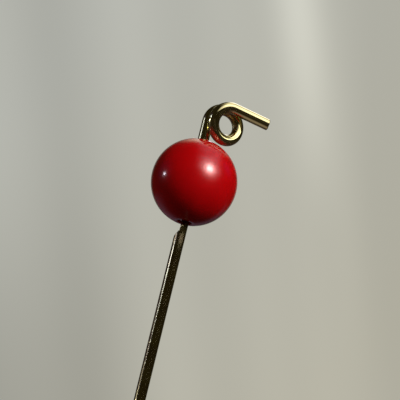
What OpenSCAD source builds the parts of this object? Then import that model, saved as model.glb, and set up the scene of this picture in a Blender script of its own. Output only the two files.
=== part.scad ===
// Bead-headed pin: one piece of brass wire carries a loose round bead.
// +Z runs up the pin's axis to the loop, +X is the side that the loop and its tail lie on,
// and the origin is on the axis, where the round shank ends and the pinch begins.

/* [Wire] */
// Diameter of the brass wire
wire_d = 0.8; // [0.6:0.05:1]

/* [Bead] */
// Diameter of the bead
bead_d = 6; // [5:0.5:9]
// How much is ground flat around each end of the bead's bore
bead_flat = 0.08; // [0.04:0.02:0.2]
// Gap between the bore's wall and the wire
bore_gap = 0.1; // [0.05:0.01:0.15]
// Width of the eased edge at each end of the bore
bore_edge = 0.1; // [0.05:0.01:0.2]

/* [Shank] */
// Length of the shank from the pinch to the tip
shank_length = 47; // [25:1:80]
// Length of the ground point
point_length = 5; // [3:0.5:10]
// Diameter left at the tip
tip_d = 0.08; // [0.04:0.02:0.2]

/* [Pinch] */
// How deep the wire is nipped, from one side
pinch_depth = 0.3; // [0.1:0.05:0.35]
// Length of the nipped flat below the bead
pinch_flat = 0.6; // [0.4:0.05:1.2]
// Length of the slope from the flat down to the round shank
pinch_slope = 0.34; // [0.2:0.02:0.6]
// Direction that the nipped side faces, turned from +X toward +Y
pinch_facing = 150; // [0:5:355]
// How far the squeezed wire is drawn in all round
pinch_draw = 0.015; // [0.01:0.005:0.03]
// How far the squeezed metal stands out on each side
ear_reach = 0.16; // [0.12:0.01:0.2]
// Thickness of the squeezed metal, from the nipped flat inward
ear_thickness = 0.28; // [0.2:0.02:0.4]

/* [Loop] */
// Inside diameter of the loop
loop_d = 1.45; // [1:0.05:3]
// How far the loop is turned after the quarter turn that starts it, in degrees
loop_turn = 366; // [350:1:375]
// Gap between the loop and the bead
loop_gap = 0.2; // [0.1:0.05:1]
// Gap between the loop's second pass and the leg that it passes
turn_gap = 0.03; // [0.02:0.01:0.3]

/* [Tail] */
// Length of the straight tail beyond the loop
tail_length = 2.7; // [1:0.1:8]
// Width of the broken edge at the tail's end
tail_edge = 0.06; // [0.03:0.01:0.1]

/* [Hidden] */
$fn = 96;
wire_r = wire_d / 2;
tip_r = tip_d / 2;

// Bead: it sits just above the ears of the pinch.
bead_r = bead_d / 2;
bead_half = bead_r - bead_flat;
bore_r = wire_r + bore_gap;
bead_bottom = pinch_slope + pinch_flat;
bead_z = bead_bottom + bead_half;
bead_drift = 0.8 * bore_gap;         // the loose bead leans away from the nipped side

// Pinch: its upper slope ends inside the mouth of the bore.
pinch_top = bead_bottom + bore_edge;
pinch_foot = 0.03;
ear_drop = 0.06;
ear_r = wire_r + ear_reach;
ear_half = sqrt(ear_r * ear_r - wire_r * wire_r);
ear_z = bead_bottom - ear_drop - ear_half;

// Neck: the squeezed stretch is drawn in a little all round, from the round shank's end
// to just above the pinch.
neck_r = wire_r - pinch_draw;
neck_half = (pinch_top + pinch_foot) / 2;

// Loop: its bends start where it clears the bead by loop_gap.
bend_r = (loop_d + wire_d) / 2;
loop_z = bead_z + sqrt(pow(bead_r + loop_gap + wire_r + bend_r, 2) - pow(bend_r, 2));

// One turn moves the wire sideways by the pitch. The second pass comes closest to the
// leg when it has moved by five sixths of that.
pitch = 6 / 5 * (wire_d + turn_gap);
lead = atan(pitch / (2 * PI * bend_r));

// The bent wire is a chain of rings.
ring_sides = 24;
quarter_rings = 9;
turn_rings = 4 * quarter_rings;
ring_r = 0.999 * wire_r;             // a hair inside the round leg that it grows from

// Turned about Z, from +X toward -Y, by the lead.
function led(v) = [v.x * cos(lead), -v.x * sin(lead), v.z];

// A ring is its centre, the wire's direction, the direction to the inside of the bend,
// the angle that keeps the rings' corners in line, and its radius.
function ring(centre, along, inward, slip, radius) =
    let (side = cross(along, inward))
        [for (k = [0 : ring_sides - 1])
            let (a = slip + k * 360 / ring_sides)
                centre + radius * (cos(a) * inward + sin(a) * side)];

// The leg, straight up the axis.
function leg_ring(z) = ring([0, 0, z], [0, 0, 1], led([1, 0, 0]), 0, ring_r);

// The quarter turn from the leg to the top of the loop.
function quarter_ring(a) =
    ring([0, 0, loop_z] + bend_r * led([1 - cos(a), 0, sin(a)]),
         led([sin(a), 0, cos(a)]), led([cos(a), 0, -sin(a)]), 0, ring_r);

// The turn that follows it, over the top and round, a little past the top again.
loop_top = [0, 0, loop_z] + bend_r * led([1, 0, 1]);
function turned(a) = loop_top + [bend_r * sin(a), -pitch * a / 360, bend_r * (cos(a) - 1)];
function onward(a) = [cos(a) * cos(lead), -sin(lead), -sin(a) * cos(lead)];
function turn_ring(a, ahead = 0, radius = ring_r) =
    ring(turned(a) + ahead * onward(a), onward(a), [-sin(a), 0, -cos(a)],
         a * sin(lead), radius);

// A closed skin over a chain of rings.
module skin(rings) {
    n = ring_sides;
    last = len(rings) - 1;
    sides = [for (i = [0 : last - 1], k = [0 : n - 1])
        [i * n + k, (i + 1) * n + k, (i + 1) * n + (k + 1) % n, i * n + (k + 1) % n]];
    first_cap = [for (k = [0 : n - 1]) k];
    last_cap = [for (k = [n - 1 : -1 : 0]) last * n + k];
    polyhedron([for (r = rings) each r], concat([first_cap], sides, [last_cap]));
}

// The loop and its tail, grown out of the top of the leg.
module loop_and_tail() {
    skin(concat(
        [leg_ring(loop_z - wire_d)],
        [for (k = [0 : quarter_rings]) quarter_ring(k * 90 / quarter_rings)],
        [for (k = [1 : turn_rings]) turn_ring(k * loop_turn / turn_rings)],
        [turn_ring(loop_turn, tail_length - tail_edge),
         turn_ring(loop_turn, tail_length, ring_r - tail_edge)]));
}

// The straight wire, from the ground point up through the bead to the loop.
module shank_and_leg() {
    point_top = point_length - shank_length;
    translate([0, 0, -shank_length])
        cylinder(r1 = tip_r, r2 = wire_r, h = point_length);
    translate([0, 0, point_top])
        cylinder(r = wire_r, h = -point_top);
    cylinder(r1 = wire_r, r2 = neck_r, h = neck_half);
    translate([0, 0, neck_half])
        cylinder(r1 = neck_r, r2 = wire_r, h = neck_half);
    translate([0, 0, 2 * neck_half])
        cylinder(r = wire_r, h = loop_z - wire_r - 2 * neck_half);
}

// Metal squeezed out on both sides of the nip, which stops the bead.
module ears() {
    intersection() {
        translate([0, 0, ear_z]) sphere(r = ear_r);
        rotate([0, 0, pinch_facing])
            translate([wire_r - pinch_depth - ear_thickness, -ear_r, ear_z - ear_r])
                cube([ear_thickness, 2 * ear_r, 2 * ear_r]);
    }
}

// What the pliers press in from one side: a slope, a flat and a short upper slope.
module nip() {
    flat = wire_r - pinch_depth;
    beyond = 2 * wire_r;
    rotate([0, 0, pinch_facing]) rotate([90, 0, 0])
        linear_extrude(height = 4 * wire_r, center = true)
            polygon([[wire_r, pinch_foot], [flat, pinch_slope], [flat, bead_bottom],
                     [wire_r, pinch_top], [beyond, pinch_top], [beyond, pinch_foot]]);
}

module pin_wire() {
    color("darkgoldenrod") {
        difference() {
            union() {
                shank_and_leg();
                ears();
            }
            nip();
        }
        loop_and_tail();
    }
}

module bead() {
    color("crimson") rotate([0, 0, pinch_facing]) translate([-bead_drift, 0, bead_z])
        difference() {
            intersection() {
                sphere(r = bead_r);
                cube([bead_d, bead_d, 2 * bead_half], center = true);
            }
            cylinder(r = bore_r, h = bead_d, center = true);
            for (end = [0, 180])
                rotate([end, 0, 0]) translate([0, 0, bead_half - bore_edge])
                    cylinder(r1 = bore_r, r2 = bore_r + 2 * bore_edge, h = 2 * bore_edge);
        }
}

pin_wire();
bead();
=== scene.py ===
"""Bead-headed wire pin: a brass wire with a ground point, a nipped seat, a looped eye and a cut
tail, and the loose red bead that it carries."""

import math

import bmesh
import bpy
from mathutils import Matrix, Vector


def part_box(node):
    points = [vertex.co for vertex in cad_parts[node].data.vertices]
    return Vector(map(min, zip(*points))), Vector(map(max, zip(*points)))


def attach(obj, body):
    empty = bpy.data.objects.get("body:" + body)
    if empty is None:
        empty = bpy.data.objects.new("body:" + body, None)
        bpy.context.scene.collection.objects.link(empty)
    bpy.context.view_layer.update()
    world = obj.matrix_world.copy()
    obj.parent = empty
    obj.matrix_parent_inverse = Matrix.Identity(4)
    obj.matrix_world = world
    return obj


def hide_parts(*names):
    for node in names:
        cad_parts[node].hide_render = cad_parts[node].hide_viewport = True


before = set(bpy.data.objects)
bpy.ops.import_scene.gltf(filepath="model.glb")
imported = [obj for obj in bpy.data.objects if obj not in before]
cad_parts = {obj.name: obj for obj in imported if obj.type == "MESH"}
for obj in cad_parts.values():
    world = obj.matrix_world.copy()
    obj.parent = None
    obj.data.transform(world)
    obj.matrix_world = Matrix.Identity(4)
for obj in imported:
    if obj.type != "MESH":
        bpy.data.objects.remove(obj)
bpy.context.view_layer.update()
WIRE_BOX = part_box("pin_wire")
BEAD_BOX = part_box("bead")
MM = 0.001

bl_info = {
    "name": "Bead-Headed Pin",
    "version": (1, 0, 0),
    "blender": (4, 5, 0),
    "location": "3D View > Sidebar > Pin",
    "description": "Makes a brass wire pin with a looped eye and a loose red bead",
    "category": "Add Mesh",
}


def length(name, description, default, smallest, largest):
    """A size in metres."""
    return bpy.props.FloatProperty(name=name, description=description, default=default,
                                   min=smallest, max=largest, precision=6,
                                   subtype="DISTANCE", unit="LENGTH")


def colour(name, description, default):
    """A colour, as it is written in a shader."""
    return bpy.props.FloatVectorProperty(name=name, description=description, size=3,
                                         default=default, min=0.0, max=1.0, subtype="COLOR")


def share(name, description, default, largest=1.0):
    """A plain factor."""
    return bpy.props.FloatProperty(name=name, description=description, default=default,
                                   min=0.0, max=largest, subtype="FACTOR")


class PinWireSizes(bpy.types.PropertyGroup):
    """The bent wire's sizes. The origin is on its axis, where the round shank ends."""

    wire_diameter: length("Wire Diameter", "Thickness of the brass wire",
                          0.8 * MM, 0.4 * MM, 2 * MM)
    shank_length: length("Shank Length", "From the pinch down to the tip",
                         -WIRE_BOX[0].z, 20 * MM, 90 * MM)
    point_length: length("Point Length", "Length of the ground point", 5 * MM, 2 * MM, 12 * MM)
    tip_diameter: length("Tip Diameter", "Thickness of the point's very end",
                         0.08 * MM, 0.02 * MM, 0.3 * MM)
    leg_height: length("Leg Height", "From the pinch up to where the bends start",
                       8.449 * MM, 6 * MM, 12 * MM)
    bend_radius: length("Bend Radius", "Radius of the wire's middle line round the eye",
                        1.125 * MM, 0.8 * MM, 3 * MM)
    loop_turn: bpy.props.FloatProperty(name="Loop Turn", description="How far the eye is turned",
                                       default=math.radians(366), min=5.5, max=7.0,
                                       subtype="ANGLE")
    loop_pitch: length("Loop Pitch", "How far the eye moves sideways in one turn",
                       0.996 * MM, 0.4 * MM, 2 * MM)
    tail_length: length("Tail Length", "Straight wire after the eye", 2.7 * MM, 1 * MM, 8 * MM)
    cut_edge: length("Cut Edge", "Rounding of the tail's cut end", 0.07 * MM, 0.02 * MM, 0.2 * MM)
    burr: length("Burr", "How far the cutter's burr stands out of the cut end",
                 0.05 * MM, 0.0, 0.2 * MM)
    pinch_depth: length("Pinch Depth", "How deep the pliers pressed the seat under the bead",
                        0.3 * MM, 0.0, 0.35 * MM)
    pinch_slope: length("Pinch Slope", "Height of the slope up to the nipped flat",
                        0.34 * MM, 0.1 * MM, 1 * MM)
    pinch_flat: length("Pinch Flat", "Height of the nipped flat", 0.6 * MM, 0.2 * MM, 2 * MM)
    pinch_facing: bpy.props.FloatProperty(name="Pinch Facing",
                                          description="Side that was pressed, from +X to +Y",
                                          default=math.radians(150), min=0.0, max=6.2832,
                                          subtype="ANGLE")
    ear_reach: length("Ear Reach", "How far the squeezed metal stands out at the sides",
                      0.16 * MM, 0.0, 0.3 * MM)


class BeadSizes(bpy.types.PropertyGroup):
    """The bead's sizes."""

    diameter: length("Bead Diameter", "Largest width of the bead",
                     BEAD_BOX[1].x - BEAD_BOX[0].x + 0.03 * MM, 3 * MM, 12 * MM)
    oval: share("Oval", "Height of the bead's curve, where 1 is round", 1.02, 1.1)
    height: length("Bead Height", "Height of the bead between its flats",
                   BEAD_BOX[1].z - BEAD_BOX[0].z, 3 * MM, 12 * MM)
    bottom: length("Bead Bottom", "Height of the bead's lower flat", BEAD_BOX[0].z, 0.0, 5 * MM)
    bore_diameter: length("Bore Diameter", "Hole through the bead", 1.0 * MM, 0.5 * MM, 3 * MM)
    lip: length("Bore Lip", "Rounding at the mouths of the bore", 0.1 * MM, 0.02 * MM, 0.4 * MM)


class PinFinishes(bpy.types.PropertyGroup):
    """Colours and wear of the brass and of the bead."""

    brass: colour("Brass", "Clean, rubbed brass", (0.84, 0.76, 0.33))
    # Brass darkened with age, and also the painted shade inside the eye.
    aged_brass_and_shade: colour("Aged Brass", "Brass that has darkened", (0.46, 0.34, 0.18))
    # Brown-black stain, and also the painted shadow where the wire goes into the bead.
    tarnish_and_shadow: colour("Tarnish", "Brown-black stain on the shank", (0.13, 0.09, 0.05))
    bead_red: colour("Bead Red", "Body colour of the bead", (0.43, 0.0005, 0.002))
    bead_deep: colour("Bead Deep Red", "Cloudier red below the gloss", (0.38, 0.0003, 0.0015))
    polish: share("Polish", "Roughness of the polished eye", 0.1)
    dull: share("Dullness", "Roughness of the shank", 0.09)


class PinStage(bpy.types.PropertyGroup):
    """Camera, lamps and surroundings."""

    camera_azimuth: bpy.props.FloatProperty(name="Camera Azimuth", default=math.radians(-27),
                                            description="Turn of the camera round the pin",
                                            subtype="ANGLE")
    camera_elevation: bpy.props.FloatProperty(name="Camera Elevation",
                                              default=math.radians(-15),
                                              description="Height of the camera over the bead",
                                              subtype="ANGLE")
    lean: bpy.props.FloatProperty(name="Lean", default=math.radians(13.7),
                                  description="How far the pin leans to the right in the view",
                                  subtype="ANGLE")
    distance: length("Distance", "From the camera to the bead", 0.18, 0.05, 2.0)
    view_width: length("View Width", "Width of what the camera sees at the bead",
                       27.84 * MM, 5 * MM, 0.2)
    backdrop: colour("Backdrop", "Pale colour behind the pin", (0.448, 0.453, 0.41))
    floor: colour("Floor", "Pale colour of the floor", (0.46, 0.45, 0.41))
    fill: colour("Fill", "Dim, even light on matt surfaces", (0.055, 0.052, 0.05))
    key_light: share("Key Light", "Brightness of the main lamp", 34.0, 100.0)
    glow_light: share("Glow Light", "Brightness of the main lamp in the gloss", 62.0, 100.0)
    side_light: share("Side Light", "Brightness of the window on the left", 17.0, 100.0)
    right_light: share("Right Light", "Brightness of the window on the right", 4.0, 100.0)
    spark_light: share("Spark Light", "Brightness of the small lamp on the left", 70.0, 100.0)
    low_light: share("Low Light", "Brightness of the low window on the left", 4.5, 100.0)
    floor_light: share("Floor Light", "Brightness of the light that only the floor gets", 2.8,
                       100.0)
    under_light: share("Under Light", "Brightness of the glow under the pin", 0.25, 100.0)
    ceiling_light: share("Ceiling Light", "Brightness of the glow over the pin", 0.42, 100.0)
    rim_light: share("Rim Light", "Brightness of the glow behind the bead", 2.3, 100.0)
    violet_light: share("Violet Light", "Brightness of the glow beside the bead", 0.3, 100.0)
    warm_light: share("Warm Light", "Brightness of the red glow round the bead's shine", 9.0,
                      100.0)


# ---------------------------------------------------------------------------- helpers


def linked_object(name, data):
    """A new object in the scene."""
    holder = bpy.data.objects.new(name, data)
    bpy.context.scene.collection.objects.link(holder)
    return holder


def faced_out(work, data):
    """Write an edited mesh to this data, its faces pointing out."""
    bmesh.ops.recalc_face_normals(work, faces=work.faces)
    if work.calc_volume(signed=True) < 0:
        bmesh.ops.reverse_faces(work, faces=work.faces)
    work.to_mesh(data)
    work.free()


def fed(tree, node, *values):
    """The node, with its first inputs linked to sums or set to numbers."""
    for socket, value in zip(node.inputs, values):
        if isinstance(value, Sum):
            tree.links.new(value.socket, socket)
        else:
            socket.default_value = value
    return node


class Sum:
    """A value in a node tree that can be added, subtracted and multiplied."""

    def __init__(self, tree, socket):
        self.tree, self.socket = tree, socket

    def math(self, operation, *others):
        node = self.tree.nodes.new("ShaderNodeMath")
        node.operation = operation
        return Sum(self.tree, fed(self.tree, node, self, *others).outputs[0])

    def __add__(self, other):
        return self.math("ADD", other)

    def __sub__(self, other):
        return self.math("SUBTRACT", other)

    def __mul__(self, other):
        return self.math("MULTIPLY", other)

    def __truediv__(self, other):
        return self.math("DIVIDE", other)

    def sin(self):
        return self.math("SINE")

    def cos(self):
        return self.math("COSINE")

    def least(self, other):
        return self.math("MINIMUM", other)

    def most(self, other):
        return self.math("MAXIMUM", other)

    def between(self, low, high):
        """0 below low, 1 above high and straight between them."""
        node = self.tree.nodes.new("ShaderNodeMapRange")
        node.clamp = True
        return Sum(self.tree, fed(self.tree, node, self, low, high).outputs[0])

    def eased(self, low, high):
        """As between, with both ends eased."""
        result = self.between(low, high)
        result.socket.node.interpolation_type = "SMOOTHSTEP"
        return result

    def bell(self, middle, width):
        """1 at the middle, falling off on both sides."""
        away = (self - middle) / width
        return (away * away * -1.0).math("EXPONENT")

    def rest(self):
        """What is left of 1."""
        return self * -1.0 + 1.0


def number(tree, value):
    """A fixed number as the start of a sum."""
    node = tree.nodes.new("ShaderNodeValue")
    node.outputs[0].default_value = value
    return Sum(tree, node.outputs[0])


def vector(tree, x, y, z):
    """Three values as one vector socket."""
    return fed(tree, tree.nodes.new("ShaderNodeCombineXYZ"), x, y, z).outputs[0]


def parts(tree, socket):
    """The x, y and z of a vector socket."""
    node = tree.nodes.new("ShaderNodeSeparateXYZ")
    tree.links.new(socket, node.inputs[0])
    return [Sum(tree, out) for out in node.outputs]


# ---------------------------------------------------------------------------- bent wire

# The sizes that the node tree takes as inputs.
WIRE_INPUTS = ("wire_diameter", "shank_length", "point_length", "tip_diameter", "leg_height",
               "bend_radius", "loop_turn", "loop_pitch", "tail_length", "cut_edge", "burr",
               "pinch_depth", "pinch_slope", "pinch_flat", "pinch_facing", "ear_reach")
# Corners of the wire's section.
AROUND = 64
# The round of the ground tip, and how far below and above the nip and the bends the rings
# on the path lie closer together.
TIP_ROUND = 0.05 * MM
PINCH_MARGINS = (0.4 * MM, 0.3 * MM)
BEND_MARGIN = 2.2 * MM


def titled(name):
    """A size's name as it stands on the node tree."""
    return name.replace("_", " ").title()


def stored(tree, geometry, name, value, data_type="FLOAT"):
    """The geometry with this value kept on it under a name."""
    node = tree.nodes.new("GeometryNodeStoreNamedAttribute")
    node.data_type = data_type
    node.inputs["Name"].default_value = name
    tree.links.new(geometry, node.inputs["Geometry"])
    tree.links.new(value, node.inputs["Value"])
    return node.outputs[0]


def moved(tree, geometry, socket, value):
    """The geometry with its points at a new Position, or moved by an Offset."""
    node = tree.nodes.new("GeometryNodeSetPosition")
    tree.links.new(geometry, node.inputs["Geometry"])
    tree.links.new(value, node.inputs[socket])
    return node.outputs[0]


def wire_tree(material):
    """Geometry Nodes: a path from the tip to the tail's end, and the wire round it."""
    tree = bpy.data.node_groups.new("Bent Pin Wire", "GeometryNodeTree")
    tree.interface.new_socket("Geometry", in_out="OUTPUT", socket_type="NodeSocketGeometry")
    for name in WIRE_INPUTS:
        tree.interface.new_socket(titled(name), in_out="INPUT", socket_type="NodeSocketFloat")
    new, link = tree.nodes.new, tree.links.new
    given, result = new("NodeGroupInput"), new("NodeGroupOutput")
    size = {name: Sum(tree, given.outputs[titled(name)]) for name in WIRE_INPUTS}
    wire_r = size["wire_diameter"] * 0.5
    bend_r = size["bend_radius"]

    # How far each stretch of the path runs, and how many rings it gets: the tip's round, the
    # ground point, the shank, the nip, the leg in two stretches, the quarter bend, the eye,
    # the tail and its cut end.
    pace = size["loop_pitch"] / (2 * math.pi)
    quarter = bend_r * (math.pi / 2)
    turn = (bend_r * bend_r + pace * pace).math("SQRT") * size["loop_turn"]
    flat_top = size["pinch_slope"] + size["pinch_flat"]
    pinch_low, pinch_high = PINCH_MARGINS[0], flat_top + PINCH_MARGINS[1]
    leg_low = size["leg_height"] - BEND_MARGIN
    stretches = [
        (number(tree, TIP_ROUND), 10),
        (size["point_length"] - TIP_ROUND, 40),
        (size["shank_length"] - size["point_length"] - pinch_low, 90),
        (pinch_high + pinch_low, 110),
        (leg_low - pinch_high, 14),
        (size["leg_height"] - leg_low, 30),
        (quarter, 36),
        (turn, 150),
        (size["tail_length"] - size["cut_edge"] * 2.0, 30),
        (size["cut_edge"] * 2.0, 22),
    ]
    count = sum(rings for _, rings in stretches)
    index = Sum(tree, new("GeometryNodeInputIndex").outputs[0])
    along, start = number(tree, 0.0), 0
    for run, rings in stretches:
        along = along + index.between(float(start), float(start + rings)) * run
        start += rings

    # Where the path is: up the axis, a quarter bend, the eye's turn, the straight tail.
    leg_end = size["shank_length"] + size["leg_height"]
    height = along.least(leg_end) - size["shank_length"]
    bent = ((along - leg_end) / bend_r).most(0.0).least(math.pi / 2)
    turned = (along - leg_end - quarter).most(0.0).least(turn) / turn * size["loop_turn"]
    ahead = (along - leg_end - quarter - turn).most(0.0)
    lead = (pace / bend_r).math("ARCTANGENT")
    out = bend_r * (bent.cos() * -1.0 + 1.0)
    end_x = size["loop_turn"].cos() * lead.cos()
    end_z = size["loop_turn"].sin() * lead.cos() * -1.0
    path_x = out * lead.cos() + bend_r * turned.sin() + ahead * end_x
    path_y = out * lead.sin() * -1.0 - pace * turned - ahead * lead.sin()
    path_z = height + bend_r * bent.sin() + bend_r * (turned.cos() - 1.0) + ahead * end_z

    line = new("GeometryNodeMeshLine")
    line.inputs["Count"].default_value = count + 1
    path = moved(tree, line.outputs[0], "Position", vector(tree, path_x, path_y, path_z))

    # How thick it is: a ground point with a rounded tip, and a cut end with a broken edge.
    whole = leg_end + quarter + turn + size["tail_length"]
    tip_r = size["tip_diameter"] * 0.5
    taper = along.between(0.0, size["point_length"])
    ground = tip_r + (wire_r - tip_r) * taper
    tip_part = (along / TIP_ROUND).least(1.0)
    tip_round = (tip_part.rest() * tip_part.rest()).rest().most(0.0).math("SQRT")
    left = (whole - along).most(0.0)
    edge = size["cut_edge"]
    past = ((left - edge * 0.35) / edge).rest().most(0.0).least(1.0)
    eased_edge = edge * (past * past).rest().most(0.0).math("SQRT").rest()
    face = (left / (edge * 0.35)).least(1.0)
    thick = (ground * tip_round.most(0.02)).least(wire_r - eased_edge) * face.most(0.015)

    path = stored(tree, path, "along", along.socket)
    path = stored(tree, path, "thick", (thick / wire_r).socket)
    curve = new("GeometryNodeMeshToCurve")
    link(path, curve.inputs["Mesh"])

    ring = new("GeometryNodeCurvePrimitiveCircle")
    ring.inputs["Resolution"].default_value = AROUND
    link(wire_r.socket, ring.inputs["Radius"])
    section = stored(tree, ring.outputs[0], "around",
                     new("GeometryNodeInputPosition").outputs[0], "FLOAT_VECTOR")
    sweep = new("GeometryNodeCurveToMesh")
    sweep.inputs["Fill Caps"].default_value = True
    link(curve.outputs[0], sweep.inputs["Curve"])
    link(section, sweep.inputs["Profile Curve"])
    scale = new("GeometryNodeInputNamedAttribute")
    scale.inputs["Name"].default_value = "thick"
    link(scale.outputs[0], sweep.inputs["Scale"])

    # The seat under the bead: one side pressed in, the metal squeezed out at the sides.
    x, y, z = parts(tree, new("GeometryNodeInputPosition").outputs[0])
    facing, aside = size["pinch_facing"].cos(), size["pinch_facing"].sin()
    front = x * facing + y * aside
    side = y * facing - x * aside
    # Low and high are where the nip begins and ends, and near is the stretch it may move.
    low = z.between(-0.24 * MM, size["pinch_slope"] - 0.12 * MM)
    high = z.between(flat_top, flat_top + 0.1 * MM)
    near = z.between(-0.4 * MM, -0.3 * MM) * z.between(1.4 * MM, 1.5 * MM).rest()
    depth = size["pinch_depth"] * low * high.rest()
    wall = wire_r - depth
    pressed = front.math("SMOOTH_MIN", wall, 0.035 * MM)
    flat_middle = wire_r - size["pinch_depth"] - 0.12 * MM
    ear_middle = flat_top - 0.45 * MM
    ear = z.bell(ear_middle, 0.24 * MM) * front.bell(flat_middle, 0.16 * MM) * size["ear_reach"]
    squeezed = side + side.math("SIGN") * ear * (side.math("ABSOLUTE") / wire_r).math("POWER", 3.0)
    now_front = front + (pressed - front) * near
    now_side = side + (squeezed - side) * near
    wire = moved(tree, sweep.outputs[0], "Position",
                 vector(tree, now_front * facing - now_side * aside,
                        now_front * aside + now_side * facing, z))
    nipped = front.eased(wall - 0.06 * MM, wall + 0.02 * MM) * low * high.rest() * near
    wire = stored(tree, wire, "pressed", nipped.socket)

    # Painted shade on the eye: darker inside it, except where it faces up, and on its faces that
    # turn down toward the bead.
    way = new("GeometryNodeInputNamedAttribute")
    way.inputs["Name"].default_value = "along"
    here = Sum(tree, way.outputs[0])
    sx, _, sz = parts(tree, new("GeometryNodeInputPosition").outputs[0])
    rising = parts(tree, new("GeometryNodeInputNormal").outputs[0])[2]
    off_x, off_z = sx - bend_r * lead.cos(), sz - size["leg_height"]
    inside = (bend_r - (off_x * off_x + off_z * off_z).math("SQRT")) / wire_r
    in_eye = (here.eased(leg_end + 0.4 * MM, leg_end + 1.6 * MM)
              * here.eased(leg_end + quarter + turn - 0.6 * MM,
                           leg_end + quarter + turn + 0.5 * MM).rest())
    eye_shade_mask = (inside.eased(0.1, 0.8) * rising.eased(0.1, 0.5).rest()).most(
        rising.eased(-0.7, -0.1).rest()) * in_eye
    wire = stored(tree, wire, "eye_shade", eye_shade_mask.socket)

    # The cutter's burr on the lower edge of the cut end.
    last_z = (size["leg_height"] + bend_r + bend_r * (size["loop_turn"].cos() - 1.0)
              + size["tail_length"] * end_z)
    below = ((last_z - sz) / wire_r).eased(0.35, 0.95)
    near_cut = here.eased(whole - 0.1 * MM, whole - 0.02 * MM)
    pull = size["burr"] * below * near_cut
    wire = moved(tree, wire, "Offset",
                 vector(tree, pull * end_x, pull * lead.sin() * -1.0, pull * end_z - pull * 0.35))

    smooth = new("GeometryNodeSetShadeSmooth")
    link(wire, smooth.inputs["Geometry"])
    real = new("GeometryNodeRealizeInstances")
    link(smooth.outputs[0], real.inputs["Geometry"])
    paint = new("GeometryNodeSetMaterial")
    paint.inputs["Material"].default_value = material
    link(real.outputs[0], paint.inputs["Geometry"])
    link(paint.outputs[0], result.inputs[0])
    return tree


def grown(name, tree, values, material):
    """A plain mesh object grown by a node tree with these inputs, its faces pointing out."""
    seed = linked_object(name + "_path", bpy.data.meshes.new(name + "_path"))
    modifier = seed.modifiers.new("Grow", "NODES")
    modifier.node_group = tree
    for item in tree.interface.items_tree:
        if item.in_out == "INPUT" and item.name in values:
            modifier[item.identifier] = values[item.name]
    seed.update_tag()
    graph = bpy.context.evaluated_depsgraph_get()
    mesh = bpy.data.meshes.new_from_object(seed.evaluated_get(graph), depsgraph=graph)
    bpy.data.objects.remove(seed)
    if not mesh.polygons:
        raise RuntimeError("the node tree for " + name + " made no faces")
    work = bmesh.new()
    work.from_mesh(mesh)
    faced_out(work, mesh)
    mesh.name = name
    mesh.materials.clear()
    mesh.materials.append(material)
    return linked_object(name, mesh)


# ---------------------------------------------------------------------------- bored bead

# Points on the outer curve, on each flat, on the round of each mouth and down the bore.
OUTER_POINTS, FLAT_POINTS, LIP_POINTS, BORE_POINTS = 81, 6, 9, 9
# Points round the bead.
BEAD_AROUND = 128


def bead_section(sizes):
    """One side of the bead's section: the outside, the upper mouth, the bore, the lower mouth."""
    radius, half = sizes.diameter / 2, sizes.height / 2
    bore, lip = sizes.bore_diameter / 2, sizes.lip
    inner = bore + lip
    rise = math.asin(half / radius)
    steps = OUTER_POINTS // 2
    outer = [(radius * math.cos(rise * k / steps), radius * math.sin(rise * k / steps))
             for k in range(-steps, steps + 1)]
    shoulder = outer[-1][0]
    top = [(shoulder + (inner - shoulder) * k / (FLAT_POINTS + 1), half)
           for k in range(1, FLAT_POINTS + 1)]
    for k in range(LIP_POINTS):
        turn = math.pi / 2 * k / (LIP_POINTS - 1)
        top.append((inner - lip * math.sin(turn), half - lip * (1 - math.cos(turn))))
    bottom = [(x, -z) for x, z in reversed(top)]
    wall = [(bore, (half - lip) * (1 - 2 * k / (BORE_POINTS + 1)))
            for k in range(1, BORE_POINTS + 1)]
    return [(x, z * sizes.oval) for x, z in outer + top + wall + bottom]


def lathed(name, section, middle, material):
    """A closed section turned round the upright line through the middle."""
    mesh = bmesh.new()
    turns = [2 * math.pi * k / BEAD_AROUND for k in range(BEAD_AROUND)]
    rings = [[mesh.verts.new(middle + Vector((x * math.cos(turn), x * math.sin(turn), z)))
              for turn in turns] for x, z in section]
    for low, high in zip(rings, rings[1:] + rings[:1]):
        for k in range(BEAD_AROUND):
            after = (k + 1) % BEAD_AROUND
            mesh.faces.new((low[k], low[after], high[after], high[k]))
    bmesh.ops.remove_doubles(mesh, verts=mesh.verts, dist=1e-9)
    data = bpy.data.meshes.new(name)
    faced_out(mesh, data)
    data.shade_smooth()
    data.materials.append(material)
    return linked_object(name, data)


# ---------------------------------------------------------------------------- finishes


def noise(tree, place, scale, detail=3.0, roughness=0.5):
    """A noise texture's value on these coordinates, in turns per millimetre."""
    node = tree.nodes.new("ShaderNodeTexNoise")
    node.inputs["Scale"].default_value = scale / MM
    node.inputs["Detail"].default_value = detail
    node.inputs["Roughness"].default_value = roughness
    tree.links.new(place, node.inputs["Vector"])
    return Sum(tree, node.outputs["Fac"])


def mixed(tree, amount, first, second):
    """One colour laid over another."""
    node = tree.nodes.new("ShaderNodeMix")
    node.data_type, node.clamp_factor = "RGBA", True
    tree.links.new(amount.socket, node.inputs[0])
    for socket, value in ((node.inputs[6], first), (node.inputs[7], second)):
        if hasattr(value, "is_linked"):
            tree.links.new(value, socket)
        else:
            socket.default_value = (*value, 1.0)
    return node.outputs[2]


def bumped(tree, height, strength, distance):
    """A normal raised by this height."""
    node = tree.nodes.new("ShaderNodeBump")
    node.inputs["Strength"].default_value = strength
    node.inputs["Distance"].default_value = distance
    tree.links.new(height.socket, node.inputs["Height"])
    return node.outputs[0]


def attribute(tree, name):
    """An attribute kept on the piece's own mesh."""
    node = tree.nodes.new("ShaderNodeAttribute")
    node.attribute_name = name
    return node


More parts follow.
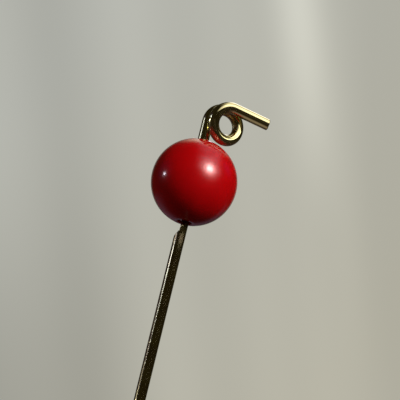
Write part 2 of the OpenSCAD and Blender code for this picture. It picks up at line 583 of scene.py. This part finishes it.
def brass_wire_finish(finish, sizes):
    """Drawn brass: polished eye, stained and pitted shank, painted shade in the eye and at the
    bead.
    """
    material = bpy.data.materials.new("Drawn Brass")
    material.use_nodes = True
    tree = material.node_tree
    shader = tree.nodes["Principled BSDF"]
    shader.inputs["Metallic"].default_value = 1.0
    along = Sum(tree, attribute(tree, "along").outputs["Fac"])
    pressed = Sum(tree, attribute(tree, "pressed").outputs["Fac"])
    eye_shade = Sum(tree, attribute(tree, "eye_shade").outputs["Fac"])
    round_x, round_y, _ = parts(tree, attribute(tree, "around").outputs["Vector"])
    straight = vector(tree, round_x, round_y, along * 0.12)
    evenly = vector(tree, round_x, round_y, along)
    shank = along.eased(sizes.shank_length + 1.0 * MM, sizes.shank_length + 6.5 * MM).rest()

    # Draw lines, grime, specks and clouds; a scuffed edge under the nip; over it, a painted shadow
    # where the wire goes into the bead.
    drawn = noise(tree, straight, 16.0, 2.0)
    grime = noise(tree, evenly, 1.4, 5.0, 0.62)
    fleck = noise(tree, evenly, 7.0, 4.0, 0.7)
    cloud = noise(tree, evenly, 0.35, 2.0)
    scuff = along.bell(sizes.shank_length - 0.35 * MM, 0.55 * MM) * grime.eased(0.3, 0.55)
    neck_shadow = (along.eased(sizes.shank_length + 0.25 * MM, sizes.shank_length + 0.7 * MM)
            * along.eased(sizes.shank_length + 4.5 * MM, sizes.shank_length + 5.5 * MM).rest())
    stain = (grime.eased(0.36, 0.62) * 0.85 + fleck.eased(0.5, 0.72) * 0.4).least(1.0) * shank
    clean = mixed(tree, cloud.eased(0.35, 0.7) * 0.5, finish.brass, finish.aged_brass_and_shade)
    # Stain, scuff, and painted shade inside the eye and on its downward faces darken the brass.
    aged_and_shaded = mixed(tree, (stain * 0.45).most(eye_shade * (grime * 0.5 + 0.5)).most(scuff * 0.8),
                 clean, finish.aged_brass_and_shade)
    # Brown-black stain on the shank, and a painted shadow where the wire goes into the bead.
    dark = mixed(tree, (stain * fleck.eased(0.42, 0.6) * 0.45).most(neck_shadow * 0.85), aged_and_shaded,
                 finish.tarnish_and_shadow)
    tree.links.new(dark, shader.inputs["Base Color"])
    rough = (number(tree, finish.polish) + shank * (finish.dull - finish.polish) + stain * 0.02
             + drawn * 0.02 + pressed * 0.12 + eye_shade * 0.3 + scuff * 0.17)
    tree.links.new(rough.socket, shader.inputs["Roughness"])
    pits = fleck.eased(0.56, 0.7) * shank * -1.0
    strikes = noise(tree, vector(tree, round_x * 0.2, round_y * 0.2, along), 22.0, 2.0) * pressed
    height = drawn * (shank * 0.25 + 0.1) + grime * shank * 0.2 + pits * 0.5 + strikes * 1.4
    tree.links.new(bumped(tree, height, 0.5, 0.005 * MM), shader.inputs["Normal"])
    return material


def red_bead_finish(finish):
    """Deep red under a clear gloss, a little cloudy and not quite even."""
    material = bpy.data.materials.new("Glossy Red")
    material.use_nodes = True
    tree = material.node_tree
    shader = tree.nodes["Principled BSDF"]
    place = tree.nodes.new("ShaderNodeTexCoord").outputs["Object"]
    cloud = noise(tree, place, 0.35, 3.0)
    grain = noise(tree, place, 3.0, 4.0, 0.6)
    tree.links.new(mixed(tree, cloud.eased(0.35, 0.68) * 0.6 + grain * 0.15, finish.bead_red,
                         finish.bead_deep), shader.inputs["Base Color"])
    tree.links.new((number(tree, 0.34) + cloud * 0.12 + grain * 0.06).socket,
                   shader.inputs["Roughness"])
    shader.inputs["Specular IOR Level"].default_value = 0.03
    shader.inputs["Subsurface Weight"].default_value = 0.35
    shader.inputs["Subsurface Radius"].default_value = (1.0, 0.2, 0.1)
    shader.inputs["Subsurface Scale"].default_value = 1.2 * MM
    shader.inputs["Coat Weight"].default_value = 1.0
    shader.inputs["Coat Roughness"].default_value = 0.16
    shader.inputs["Coat IOR"].default_value = 1.35
    ripple = noise(tree, place, 0.9, 2.0)
    tree.links.new(bumped(tree, ripple + grain * 0.12, 0.35, 0.02 * MM),
                   shader.inputs["Normal"])
    tree.links.new(bumped(tree, ripple, 0.2, 0.02 * MM), shader.inputs["Coat Normal"])
    return material


# ---------------------------------------------------------------------------- stage helpers

# Painted light and shade on the backdrop, a band for each soft fold: place across the view,
# width and depth, lighter above 0 and darker below.
BACKDROP_FOLD_SHADING = ((-0.085, 0.02, 0.05), (-0.05, 0.014, -0.09), (-0.019, 0.013, 0.07),
                  (0.02, 0.013, 0.06), (0.04, 0.01, 0.06), (0.055, 0.009, 0.05))
# Lamps that light only matt surfaces, and lamps that show only in the gloss.
MATT_LAMPS = ("Key",)
GLOSS_LAMPS = ("Key Glow", "Rim Glow", "Violet Glow", "Warm Glow")
# Lamps that light one piece only, and lamps that leave a piece or the floor out.
WIRE_LAMPS = ("Side Window", "Side Glow", "Low Window", "Right Window", "Under Glow",
              "Ceiling Glow")
BEAD_LAMPS = ("Rim Glow", "Violet Glow", "Warm Glow")
NOT_WIRE_LAMPS = ("Key Glow",)
NOT_FLOOR_LAMPS = ("Key", "Key Glow", "Left Spark")
# Tints of the lamps.
WARM_WHITE = (1.0, 0.97, 0.92)
DAYLIGHT = (0.5, 0.58, 1.0)
# What the gloss meets: the dark room, the card behind, the window and the glow at the left.
ROOM, CARD = (0.018, 0.0145, 0.007), (0.24, 0.245, 0.215)
WINDOW, VIOLET = (2.1, 2.1, 2.35), (0.02, 0.007, 0.06)
# The floor as the gloss meets it, close by and further behind, and as matt surfaces do.
FLOOR_CLOSE, FLOOR_BEHIND = (0.016, 0.011, 0.004), (0.14, 0.115, 0.155)
FLOOR_MATT = (0.07, 0.063, 0.063)
# Half the floor's width in metres, and the camera's sensor in millimetres.
FLOOR_REACH = 4.0
SENSOR = 36


def view_axes(stage):
    """The camera's right, up and backward directions."""
    azimuth, elevation = stage.camera_azimuth, stage.camera_elevation
    back = Vector((math.sin(azimuth) * math.cos(elevation),
                   -math.cos(azimuth) * math.cos(elevation), math.sin(elevation)))
    right = Vector((0, 0, 1)).cross(back).normalized()
    up = back.cross(right)
    turn = Matrix.Rotation(stage.lean, 3, back)
    return turn @ right, turn @ up, back


def bead_middle(bead):
    """The bead hangs a little to one side of the wire's axis."""
    return Vector(((BEAD_BOX[0].x + BEAD_BOX[1].x) / 2, (BEAD_BOX[0].y + BEAD_BOX[1].y) / 2,
                   bead.bottom + bead.height / 2))


def turned_to(holder, direction):
    """Turn a lamp so that it shines from this direction."""
    holder.rotation_mode = "QUATERNION"
    holder.rotation_quaternion = direction.to_track_quat("Z", "Y")


def lamp(name, target, direction, distance, radiance, tint, size, size_y=None, glow=None):
    """An area lamp that shows in reflections, with its brightness given per area. With a glow,
    it is brightest in the middle and fades to nothing at its edge."""
    light = bpy.data.lights.new(name, "AREA")
    light.shape = "DISK" if size_y is None else "RECTANGLE"
    light.size = size
    if size_y is None:
        area = math.pi * (size / 2) ** 2
    else:
        light.size_y, area = size_y, size * size_y
    light.energy = radiance * math.pi * area
    light.color = tint
    if glow is not None:
        light.use_nodes = True
        tree = light.node_tree
        across, along, _ = parts(tree, tree.nodes.new("ShaderNodeNewGeometry")
                                 .outputs["Parametric"])
        side, rise = across - 0.5, along - 0.5
        out = (side * side + rise * rise) / (glow * glow) + 1.0
        edge = (0.25 / (glow * glow) + 1.0) ** -2
        fade = (number(tree, 1.0) / (out * out) - edge).most(0.0) * (1 / (1 - edge))
        tree.links.new(fade.socket, tree.nodes["Emission"].inputs["Strength"])
    holder = linked_object(name, light)
    holder.location = target + direction.normalized() * distance
    turned_to(holder, direction.normalized())
    holder.visible_glossy = name not in MATT_LAMPS
    holder.visible_diffuse = name not in GLOSS_LAMPS


def share_light(names, piece, state):
    """Keep these lamps' light for a piece with INCLUDE, or leave the piece out with EXCLUDE."""
    for name in names:
        light = bpy.data.objects[name]
        linked = light.light_linking.receiver_collection
        if linked is None:
            linked = bpy.data.collections.new("Linked to " + name)
        linked.objects.link(piece)
        light.light_linking.receiver_collection = linked
        for member in linked.collection_objects:
            member.light_linking.link_state = state


def surroundings(stage, axes):
    """The world: pale behind the pin, dark in front, with a soft window at the upper right."""
    world = bpy.data.worlds.new("Surroundings")
    bpy.context.scene.world = world
    world.use_nodes = True
    tree = world.node_tree
    tree.nodes.clear()
    new, link = tree.nodes.new, tree.links.new
    way = new("ShaderNodeTexCoord").outputs["Generated"]
    right, up, back = axes

    def vectors(operation, first, second):
        node = new("ShaderNodeVectorMath")
        node.operation = operation
        link(first, node.inputs[0])
        if hasattr(second, "is_linked"):
            link(second, node.inputs[1])
        elif second is not None:
            node.inputs[1].default_value = second
        return node

    def toward(direction, along=way):
        return Sum(tree, vectors("DOT_PRODUCT", along, direction.normalized()).outputs["Value"])

    def lobe(direction, outer, inner):
        return toward(direction).eased(math.cos(math.radians(outer)),
                                       math.cos(math.radians(inner)))

    def scaled(tint, amount):
        node = new("ShaderNodeVectorMath")
        node.operation = "SCALE"
        if hasattr(tint, "is_linked"):
            link(tint, node.inputs[0])
        else:
            node.inputs[0].default_value = tint
        link(amount.socket, node.inputs["Scale"])
        return node.outputs[0]

    # The backdrop: cooler at the upper left, warmer at the lower right, with painted light and
    # shade for each soft upright fold, the brightest band at the upper right, and painted shade
    # at the lower left and at the far right.
    across, high = toward(right), toward(up)
    lean = high * 0.12
    fold_shading = number(tree, 1.0)
    for middle, width, depth in BACKDROP_FOLD_SHADING:
        fold_shading = fold_shading + (across + lean).bell(middle, width) * depth
    bright = (across + lean).bell(0.047, 0.009) * high.eased(-0.02, 0.07) * 0.34
    shade = high.eased(-0.09, 0.03).rest() * across.eased(-0.1, 0.0).rest() * 0.3
    far = across.eased(0.054, 0.068) * 0.04
    pale = mixed(tree, (across - high).between(-0.11, 0.12), stage.backdrop,
                 [c * k for c, k in zip(stage.backdrop, (1.0, 0.955, 0.87))])
    shown = scaled(pale, fold_shading + bright - shade - far)

    # What shows in the gloss: a dark room, a pale card behind, a tall uneven window at the
    # right that ends a little above level and dims overhead, and a violet glow at the left.
    upward = toward(Vector((0, 0, 1)))
    above = upward.eased(0.33, 0.42)
    halfway = vectors("NORMALIZE", vectors("ADD", way, back).outputs[0], None).outputs[0]
    aside = toward(right, halfway)
    blotches = new("ShaderNodeTexNoise")
    blotches.inputs["Scale"].default_value = 5.0
    blotches.inputs["Detail"].default_value = 3.0
    link(way, blotches.inputs["Vector"])
    uneven = Sum(tree, blotches.outputs["Fac"]).eased(0.3, 0.7) * 0.6 + 0.7
    overhead = upward.eased(0.8, 0.95)
    window = (above * aside.eased(0.0, 0.34) * aside.eased(0.42, 0.68).rest() * uneven
              * (overhead * -0.6 + 1.0))
    layers = [
        (number(tree, 1.0), ROOM),
        (lobe(-back, 30.0, 16.0), CARD),
        (window, WINDOW),
        (lobe(-right * 0.938 + up * 0.345 - back * 0.05, 30.0, 4.0), VIOLET),
    ]
    total = None
    for amount, tint in layers:
        layer = scaled(tint, amount)
        total = layer if total is None else vectors("ADD", total, layer).outputs[0]
    # Each kind of ray meets its own surroundings: the backdrop, the gloss, or a dim even fill.
    kind = new("ShaderNodeLightPath")
    matt = mixed(tree, Sum(tree, kind.outputs["Is Diffuse Ray"]), total, stage.fill)
    final = mixed(tree, Sum(tree, kind.outputs["Is Camera Ray"]), matt, shown)
    background, output = new("ShaderNodeBackground"), new("ShaderNodeOutputWorld")
    link(final, background.inputs["Color"])
    link(background.outputs[0], output.inputs[0])
    world.cycles.sampling_method = "NONE"


def floor_finish(stage):
    """A pale, slightly mottled floor, which lights and shows in the pin much dimmer."""
    material = bpy.data.materials.new("Pale Floor")
    material.use_nodes = True
    tree = material.node_tree
    shader = tree.nodes["Principled BSDF"]
    place = tree.nodes.new("ShaderNodeTexCoord").outputs["Object"]
    tint = mixed(tree, noise(tree, place, 0.02, 3.0).eased(0.3, 0.7), stage.floor,
                 [c * 0.95 for c in stage.floor])
    side, behind, _ = parts(tree, place)
    near = (side * side + behind * behind).math("SQRT").eased(0.2, 0.7).rest()
    far = behind.eased(0.03, 0.1) * side.eased(-0.1, 0.0) * near
    dim = mixed(tree, far, FLOOR_CLOSE, FLOOR_BEHIND)
    kind = tree.nodes.new("ShaderNodeLightPath")
    matt = mixed(tree, Sum(tree, kind.outputs["Is Diffuse Ray"]) * near, dim, FLOOR_MATT)
    tree.links.new(mixed(tree, Sum(tree, kind.outputs["Is Camera Ray"]), matt, tint),
                   shader.inputs["Base Color"])
    shader.inputs["Roughness"].default_value = 0.9
    shader.inputs["Specular IOR Level"].default_value = 0.1
    return material


def set_camera(stage, axes, middle):
    """The camera, which looks up at the bead from a little below."""
    right, up, back = axes
    camera = bpy.data.cameras.new("Camera")
    camera.sensor_width = SENSOR
    camera.lens = SENSOR * stage.distance / stage.view_width
    camera.clip_start, camera.clip_end = 0.001, 20
    holder = linked_object("Camera", camera)
    aim = middle + right * 0.41 * MM - up * 1.24 * MM
    holder.matrix_world = Matrix.LocRotScale(
        aim + back * stage.distance,
        Matrix((right, up, back)).transposed(), Vector((1, 1, 1)))
    bpy.context.scene.camera = holder


def set_lamps(stage, axes, middle):
    """The lamps round the bead. One lights matt surfaces, and another shows in the gloss."""
    right, up, back = axes
    level_right = Vector((0, 0, 1)).cross(back).normalized()
    level_back = level_right.cross(Vector((0, 0, 1)))

    def from_left(turn, height):
        """A direction turned to the left from straight behind the camera, at this height."""
        turn, height = math.radians(turn), math.radians(height)
        side = level_back * math.cos(turn) - level_right * math.sin(turn)
        return side * math.cos(height) + Vector((0, 0, math.sin(height)))

    key = right * 0.632 + up * 0.536 + back * 0.56
    # Two lamps at one distance would each lose part of their reflection, so none share one
    # where they overlap.
    lamp("Key", middle, key, 0.4, stage.key_light, WARM_WHITE, 0.146)
    lamp("Key Glow", middle, key, 0.39, stage.glow_light, WARM_WHITE, 0.5, glow=0.155)
    lamp("Side Window", middle, from_left(75, 13.9), 0.4, stage.side_light, DAYLIGHT,
         0.112, 0.045, 0.35)
    lamp("Side Glow", middle, right * -0.86 + up * 0.51 - back * 0.06, 0.39,
         stage.side_light * 0.4, DAYLIGHT, 0.09, glow=0.3)
    lamp("Low Window", middle, from_left(86, 2.0), 0.38, stage.low_light, (0.85, 0.9, 1.0),
         0.2, 0.1, 0.5)
    lamp("Right Window", middle, right * 0.94 + up * 0.28 + back * 0.15, 0.4,
         stage.right_light, (0.95, 0.95, 1.0), 0.15, 0.13, 0.45)
    lamp("Left Spark", middle, right * -0.959 + up * 0.284 + back * 0.008, 0.4,
         stage.spark_light, (0.9, 0.88, 1.0), 0.032)
    lamp("Under Glow", Vector((0.015, -0.01, 0.0)), Vector((0, 0, -1)),
         -WIRE_BOX[0].z - 0.2 * MM, stage.under_light, (1.0, 0.83, 0.93), 0.09, glow=0.5)
    lamp("Ceiling Glow", middle, Vector((0, 0, 1)), 0.37, stage.ceiling_light,
         (1.0, 0.95, 0.95), 0.4, glow=0.4)
    lamp("Rim Glow", middle, right * 0.19 + up * 0.6 - back * 0.78, 0.36,
         stage.rim_light, (0.8, 1.0, 0.72), 0.33, glow=0.4)
    lamp("Violet Glow", middle, right * 0.88 + up * 0.35 - back * 0.3, 0.35,
         stage.violet_light, (0.5, 0.17, 1.0), 0.2, glow=0.5)
    lamp("Warm Glow", middle, key, 0.34, stage.warm_light, (1.0, 0.06, 0.03), 0.28, glow=0.7)


def set_floor(stage):
    """The floor under the point, with a light of its own that nothing else gets."""
    sheet = bmesh.new()
    bmesh.ops.create_grid(sheet, x_segments=8, y_segments=8, size=FLOOR_REACH)
    for vert in sheet.verts:
        vert.co.z = WIRE_BOX[0].z
    data = bpy.data.meshes.new("studio_floor")
    sheet.to_mesh(data)
    sheet.free()
    data.materials.append(floor_finish(stage))
    ground = linked_object("studio_floor", data)
    sun = bpy.data.lights.new("Floor Light", "SUN")
    sun.energy, sun.angle = stage.floor_light, math.radians(25)
    turned_to(linked_object("Floor Light", sun), Vector((0.35, -0.3, 1.0)))
    share_light(NOT_FLOOR_LAMPS, ground, "EXCLUDE")
    share_light(("Floor Light",), ground, "INCLUDE")


# ---------------------------------------------------------------------------- operators


class PIN_OT_make_wire(bpy.types.Operator):
    """Make the bent brass wire"""

    bl_idname = "pin.make_wire"
    bl_label = "Make Wire"

    def execute(self, context):
        sizes = context.scene.pin_wire_sizes
        material = brass_wire_finish(context.scene.pin_finishes, sizes)
        values = {titled(name): getattr(sizes, name) for name in WIRE_INPUTS}
        wire = grown("bent_wire", wire_tree(material), values, material)
        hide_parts("pin_wire")
        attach(wire, "pin")
        share_light(NOT_WIRE_LAMPS, wire, "EXCLUDE")
        share_light(WIRE_LAMPS, wire, "INCLUDE")
        return {"FINISHED"}


class PIN_OT_make_bead(bpy.types.Operator):
    """Make the bored red bead"""

    bl_idname = "pin.make_bead"
    bl_label = "Make Bead"

    def execute(self, context):
        sizes = context.scene.pin_bead_sizes
        bead = lathed("bored_bead", bead_section(sizes), bead_middle(sizes),
                      red_bead_finish(context.scene.pin_finishes))
        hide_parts("bead")
        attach(bead, "bead")
        share_light(BEAD_LAMPS, bead, "INCLUDE")
        return {"FINISHED"}


class PIN_OT_make_stage(bpy.types.Operator):
    """Set up the camera, the lamps, the floor and the surroundings"""

    bl_idname = "pin.make_stage"
    bl_label = "Make Stage"

    def execute(self, context):
        scene, stage = context.scene, context.scene.pin_stage
        axes = view_axes(stage)
        middle = bead_middle(scene.pin_bead_sizes)
        set_camera(stage, axes, middle)
        set_lamps(stage, axes, middle)
        surroundings(stage, axes)
        set_floor(stage)
        scene.view_settings.view_transform = "Standard"
        return {"FINISHED"}


class PIN_PT_panel(bpy.types.Panel):
    """Lists the pin's sizes, finishes and operators"""

    bl_idname = "PIN_PT_panel"
    bl_label = "Bead-Headed Pin"
    bl_space_type = "VIEW_3D"
    bl_region_type = "UI"
    bl_category = "Pin"

    def draw(self, context):
        for group in ("pin_wire_sizes", "pin_bead_sizes", "pin_finishes", "pin_stage"):
            box = self.layout.box()
            values = getattr(context.scene, group)
            for name in values.__annotations__:
                box.prop(values, name)
        for operator in (PIN_OT_make_wire, PIN_OT_make_bead, PIN_OT_make_stage):
            self.layout.operator(operator.bl_idname)


GROUPS = {"pin_wire_sizes": PinWireSizes, "pin_bead_sizes": BeadSizes,
          "pin_finishes": PinFinishes, "pin_stage": PinStage}
CLASSES = (*GROUPS.values(), PIN_OT_make_wire, PIN_OT_make_bead, PIN_OT_make_stage,
           PIN_PT_panel)


def register():
    for item in CLASSES:
        bpy.utils.register_class(item)
    for name, group in GROUPS.items():
        setattr(bpy.types.Scene, name, bpy.props.PointerProperty(type=group))


def unregister():
    for name in GROUPS:
        delattr(bpy.types.Scene, name)
    for item in reversed(CLASSES):
        bpy.utils.unregister_class(item)


def main():
    register()
    bpy.ops.pin.make_stage()
    bpy.ops.pin.make_wire()
    bpy.ops.pin.make_bead()


if __name__ == "__main__":
    main()
